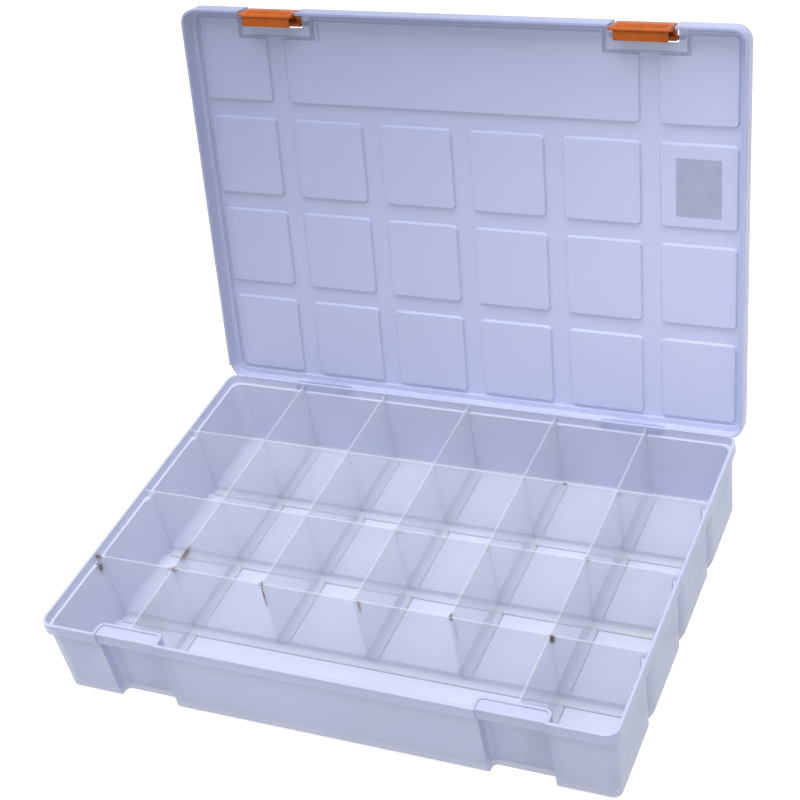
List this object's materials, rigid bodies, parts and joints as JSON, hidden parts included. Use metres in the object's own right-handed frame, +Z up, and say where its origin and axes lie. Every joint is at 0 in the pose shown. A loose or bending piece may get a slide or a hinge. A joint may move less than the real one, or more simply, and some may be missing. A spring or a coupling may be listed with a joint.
{
  "type": "compartment storage box",
  "caption": "Shallow translucent plastic organizer box with a divided tray, a hinged lid with panelled plate and snap latches that swing on the lid's front edge.",
  "frame": {"origin": "centre of the flat face the tray stands on", "axes": "+X to the right seen from the latch side, +Y to the rear where the hinges are, +Z up"},
  "size_m": [0.3796, 0.3333, 0.3142],
  "materials": {
    "clear_plastic": "satin translucent polypropylene",
    "latch_plastic": "satin orange polypropylene",
    "label_film": "matte film, bare"
  },
  "bodies": {
    "tray": {"tray_shell": "clear_plastic", "row_divider_front": "clear_plastic", "row_divider_middle": "clear_plastic", "row_divider_rear": "clear_plastic", "column_divider_row1_line1": "clear_plastic", "column_divider_row1_line5": "clear_plastic", "column_divider_row2_line1": "clear_plastic", "column_divider_row2_line2": "clear_plastic", "column_divider_row2_line3": "clear_plastic", "column_divider_row2_line4": "clear_plastic", "column_divider_row2_line5": "clear_plastic", "column_divider_row3_line1": "clear_plastic", "column_divider_row3_line2": "clear_plastic", "column_divider_row3_line3": "clear_plastic", "column_divider_row3_line4": "clear_plastic", "column_divider_row3_line5": "clear_plastic", "column_divider_row4_line1": "clear_plastic", "column_divider_row4_line2": "clear_plastic", "column_divider_row4_line3": "clear_plastic", "column_divider_row4_line4": "clear_plastic", "column_divider_row4_line5": "clear_plastic", "hinge_lug_left_outer": "clear_plastic", "hinge_lug_left_inner": "clear_plastic", "hinge_lug_right_outer": "clear_plastic", "hinge_lug_right_inner": "clear_plastic"},
    "lid": {"lid_shell": "clear_plastic", "hinge_arm_left": "clear_plastic", "hinge_arm_right": "clear_plastic", "lid_label": "label_film"},
    "latch_left": {"latch_left": "latch_plastic"},
    "latch_right": {"latch_right": "latch_plastic"}
  },
  "joints": [
    {"name": "lid_hinge", "type": "hinge", "parent": "tray", "child": "lid", "pos_m": [0, 0.1347, 0.0515], "axis": [1, 0, 0], "range_deg": [0, 102]},
    {"name": "latch_left_hinge", "type": "hinge", "parent": "lid", "child": "latch_left", "pos_m": [-0.1255, 0.19793, 0.30254], "axis": [-1, 0, 0], "range_deg": [0, 90]},
    {"name": "latch_right_hinge", "type": "hinge", "parent": "lid", "child": "latch_right", "pos_m": [0.1255, 0.19793, 0.30254], "axis": [-1, 0, 0], "range_deg": [0, 90]}
  ]
}
